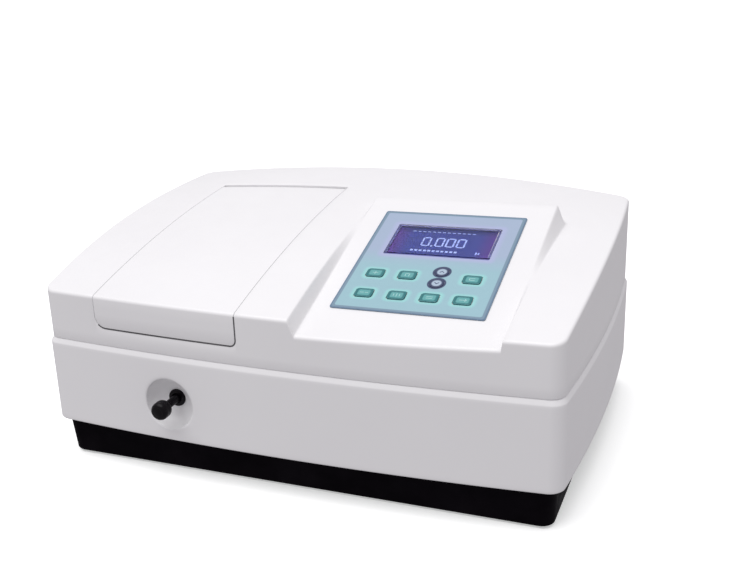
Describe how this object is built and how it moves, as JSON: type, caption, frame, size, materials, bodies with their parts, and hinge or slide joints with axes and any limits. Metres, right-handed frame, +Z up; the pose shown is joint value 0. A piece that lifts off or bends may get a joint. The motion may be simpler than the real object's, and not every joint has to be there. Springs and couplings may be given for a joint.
{
  "type": "spectrophotometer",
  "caption": "Bench spectrophotometer with crowned white housing, hinged sample lid, cuvette changer on a pull rod, sloping keypad console with screen, and black base.",
  "frame": {"origin": "centre of the whole object's box at bench level, under the feet", "axes": "+X to the instrument's right (its long side), +Y to its back, +Z up"},
  "size_m": [0.4856, 0.3508, 0.2151],
  "materials": {
    "white_moulding": "satin moulded shell with a fine texture",
    "black_moulding": "black moulded plastic",
    "rubber": "matt",
    "matt_black_paint": "matt black paint against stray light",
    "steel": "ground steel",
    "cast_aluminium": "machined casting",
    "black_anodised": "black anodised",
    "grey_sheet_metal": "grey zinc-plated sheet",
    "circuit_board": "green solder mask",
    "clear_glass": "clear",
    "mirror_coating": "coated mirror",
    "overlay_blue": "printed satin film",
    "key_green": "embossed key film",
    "key_dark": "embossed key film",
    "screen": "backlit screen"
  },
  "bodies": {
    "housing": {"lower_housing": "white_moulding", "upper_housing": "white_moulding", "base_tray": "black_moulding", "compartment_sill": "black_moulding", "rod_bush": "black_moulding", "grating_motor": "black_moulding", "mirror_motor": "black_moulding", "fan_frame": "black_moulding", "power_inlet": "black_moulding", "switch_bezel": "black_moulding", "fuse_holder": "black_moulding", "foot_front_left": "rubber", "foot_front_right": "rubber", "foot_rear_left": "rubber", "foot_rear_right": "rubber", "sample_compartment": "matt_black_paint", "lid_hinge_rod": "steel", "guide_rail_left": "steel", "guide_rail_right": "steel", "rail_bracket": "steel", "data_port": "steel", "optical_bench": "cast_aluminium", "monochromator_housing": "cast_aluminium", "monochromator_cover": "cast_aluminium", "lamp_bracket": "cast_aluminium", "hinge_bracket_left": "black_anodised", "hinge_bracket_right": "black_anodised", "detector_housing": "black_anodised", "rear_panel": "grey_sheet_metal", "compartment_stand": "grey_sheet_metal", "power_supply": "grey_sheet_metal", "fan_guard": "grey_sheet_metal", "main_board": "circuit_board", "detector_cell": "clear_glass", "exit_lens": "clear_glass", "halogen_lamp": "clear_glass", "deuterium_lamp": "clear_glass", "display_window": "clear_glass", "collimating_mirror": "mirror_coating", "membrane_overlay": "overlay_blue", "lcd_module": "screen"},
    "lid": {"compartment_lid": "white_moulding"},
    "changer": {"changer_rod": "black_moulding", "rod_knob": "black_moulding", "cuvette_carriage": "black_anodised"},
    "rocker": {"power_rocker": "black_moulding"},
    "fan": {"fan_rotor": "black_moulding"},
    "grating": {"grating_turntable": "black_anodised", "diffraction_grating": "mirror_coating"},
    "source_arm": {"source_mirror": "mirror_coating"},
    "key_1_cap": {"key_1": "key_green"},
    "key_2_cap": {"key_2": "key_green"},
    "key_3_cap": {"key_3": "key_green"},
    "key_4_cap": {"key_4": "key_green"},
    "key_5_cap": {"key_5": "key_green"},
    "key_6_cap": {"key_6": "key_green"},
    "key_7_cap": {"key_7": "key_green"},
    "key_up_cap": {"key_up": "key_dark"},
    "key_down_cap": {"key_down": "key_dark"}
  },
  "joints": [
    {"name": "lid_hinge", "type": "hinge", "parent": "housing", "child": "lid", "pos_m": [-0.107, 0.0916, 0.19852], "axis": [-0.999, 0, -0.044], "range_deg": [0, 95]},
    {"name": "changer_slide", "type": "slide", "parent": "housing", "child": "changer", "axis": [0, -1, 0], "range_m": [0, 0.054]},
    {"name": "power_rocker_tilt", "type": "hinge", "parent": "housing", "child": "rocker", "pos_m": [-0.06, 0.1656, 0.0785], "axis": [1, 0, 0], "range_deg": [-18, 0]},
    {"name": "fan_spin", "type": "hinge", "parent": "housing", "child": "fan", "pos_m": [0.085, 0.1586, 0.0785], "axis": [0, 1, 0], "continuous": true},
    {"name": "grating_turn", "type": "hinge", "parent": "housing", "child": "grating", "pos_m": [0.036, -0.0114, 0.085], "axis": [0, 0, 1], "range_deg": [-25, 25]},
    {"name": "source_mirror_turn", "type": "hinge", "parent": "housing", "child": "source_arm", "pos_m": [0.06, 0.1066, 0.085], "axis": [0, 0, 1], "range_deg": [0, 90]},
    {"name": "key_1_press", "type": "slide", "parent": "housing", "child": "key_1_cap", "axis": [0.0192, 0.2873, -0.9577], "range_m": [0, 0.0004], "stiffness_N_per_m": 2000},
    {"name": "key_2_press", "type": "slide", "parent": "housing", "child": "key_2_cap", "axis": [0.0192, 0.2873, -0.9577], "range_m": [0, 0.0004], "stiffness_N_per_m": 2000},
    {"name": "key_3_press", "type": "slide", "parent": "housing", "child": "key_3_cap", "axis": [0.0192, 0.2873, -0.9577], "range_m": [0, 0.0004], "stiffness_N_per_m": 2000},
    {"name": "key_4_press", "type": "slide", "parent": "housing", "child": "key_4_cap", "axis": [0.0192, 0.2873, -0.9577], "range_m": [0, 0.0004], "stiffness_N_per_m": 2000},
    {"name": "key_5_press", "type": "slide", "parent": "housing", "child": "key_5_cap", "axis": [0.0192, 0.2873, -0.9577], "range_m": [0, 0.0004], "stiffness_N_per_m": 2000},
    {"name": "key_6_press", "type": "slide", "parent": "housing", "child": "key_6_cap", "axis": [0.0192, 0.2873, -0.9577], "range_m": [0, 0.0004], "stiffness_N_per_m": 2000},
    {"name": "key_7_press", "type": "slide", "parent": "housing", "child": "key_7_cap", "axis": [0.0192, 0.2873, -0.9577], "range_m": [0, 0.0004], "stiffness_N_per_m": 2000},
    {"name": "key_up_press", "type": "slide", "parent": "housing", "child": "key_up_cap", "axis": [0.0192, 0.2873, -0.9577], "range_m": [0, 0.0004], "stiffness_N_per_m": 2000},
    {"name": "key_down_press", "type": "slide", "parent": "housing", "child": "key_down_cap", "axis": [0.0192, 0.2873, -0.9577], "range_m": [0, 0.0004], "stiffness_N_per_m": 2000}
  ]
}
